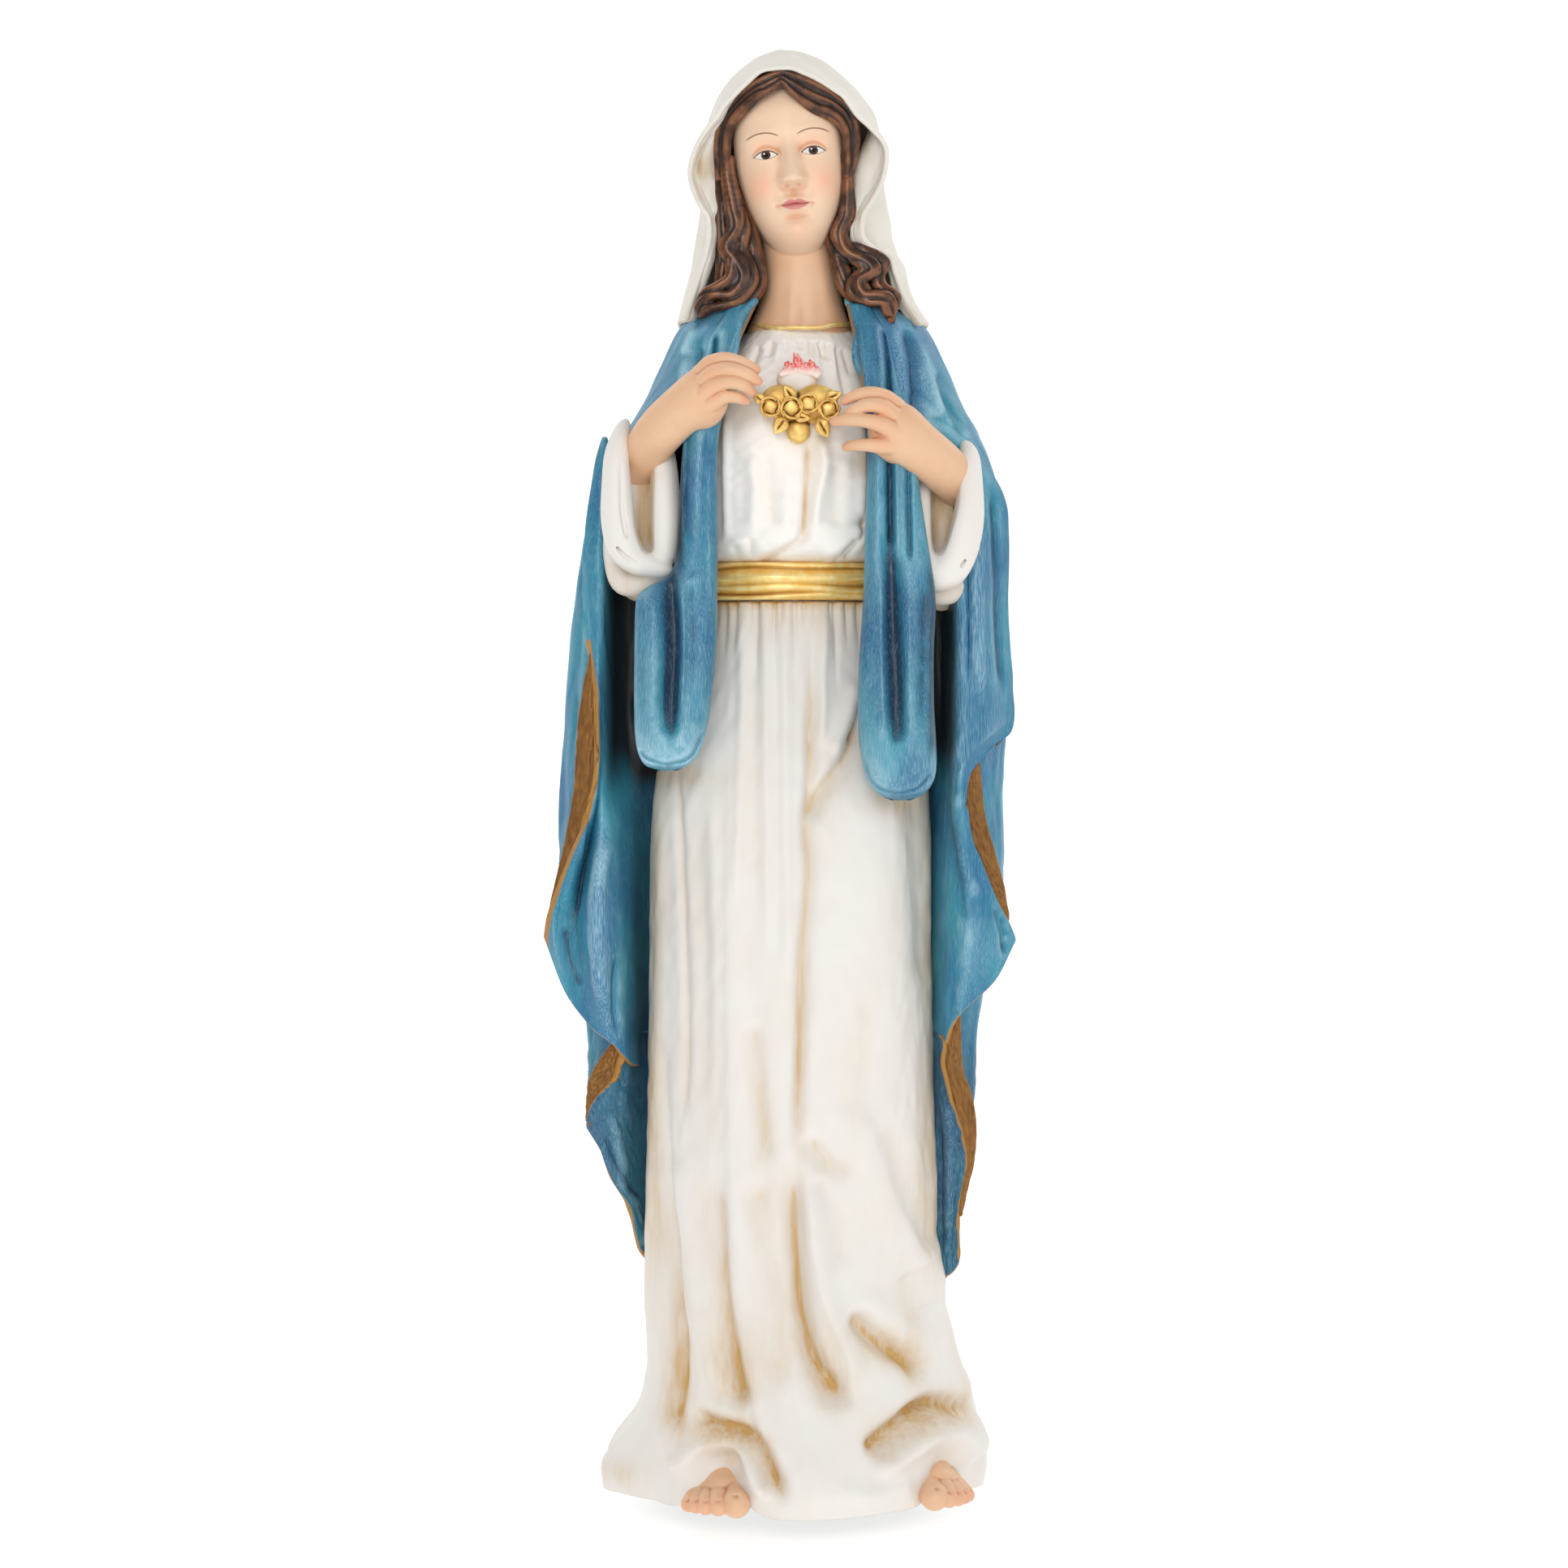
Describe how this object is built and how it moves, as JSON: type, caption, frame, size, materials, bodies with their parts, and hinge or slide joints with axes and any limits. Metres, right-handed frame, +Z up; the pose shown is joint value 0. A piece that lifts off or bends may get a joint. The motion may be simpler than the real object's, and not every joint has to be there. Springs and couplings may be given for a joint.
{
  "type": "devotional statue",
  "caption": "Painted hollow-cast devotional figure of a robed and veiled standing woman in a long mantle, both hands at a gilded rose-wreathed heart, flat felted underside",
  "frame": {"origin": "centre of the flat resting face, on the underside of the felt pad", "axes": "+Z up along the figure's height, -Y the way the figure faces, +X towards the figure's own left hand; the resting face looks along -Z"},
  "size_m": [0.1312, 0.0936, 0.4002],
  "materials": {
    "ivory_paint": "cast resin stone, satin ivory paint with a tan wash in the hollows",
    "veil_paint": "cast resin stone, satin off-white paint with a faint tan wash",
    "blue_paint": "cast resin stone, teal blue paint dry-brushed with pearl",
    "lining_gilt": "cast resin stone, dull old-gold paint",
    "bright_gilt": "cast resin stone, bright gold paint",
    "flame_paint": "red strokes of matte paint on the cast surface",
    "skin_paint": "cast resin stone, smooth satin skin-tone paint",
    "hair_paint": "cast resin stone, dark brown paint with bronze highlights",
    "bare_resin": "unpainted cast resin stone",
    "felt": "thin dark green felt, glued on"
  },
  "bodies": {
    "root": {"gown_skirt": "ivory_paint", "gown_bodice": "ivory_paint", "sleeve_right": "ivory_paint", "sleeve_left": "ivory_paint", "flame_cloud": "ivory_paint", "veil": "veil_paint", "mantle_back": "blue_paint", "front_fall_right": "blue_paint", "front_fall_left": "blue_paint", "cascade_right_upper": "blue_paint", "cascade_right_lower": "blue_paint", "cascade_left_upper": "blue_paint", "cascade_left_lower": "blue_paint", "lining_right_upper": "lining_gilt", "lining_right_lower": "lining_gilt", "lining_left_upper": "lining_gilt", "lining_left_lower": "lining_gilt", "sash": "bright_gilt", "neckline_trim": "bright_gilt", "heart": "bright_gilt", "rose_1": "bright_gilt", "rose_2": "bright_gilt", "rose_3": "bright_gilt", "rose_4": "bright_gilt", "leaf_1": "bright_gilt", "leaf_2": "bright_gilt", "leaf_3": "bright_gilt", "leaf_4": "bright_gilt", "leaf_5": "bright_gilt", "leaf_6": "bright_gilt", "flame": "flame_paint", "head_and_neck": "skin_paint", "hand_right": "skin_paint", "hand_left": "skin_paint", "foot_right": "skin_paint", "foot_left": "skin_paint", "hair_crown": "hair_paint", "hair_lock_right": "hair_paint", "hair_lock_left": "hair_paint", "closing_plate": "bare_resin", "felt_pad": "felt"}
  },
  "joints": []
}
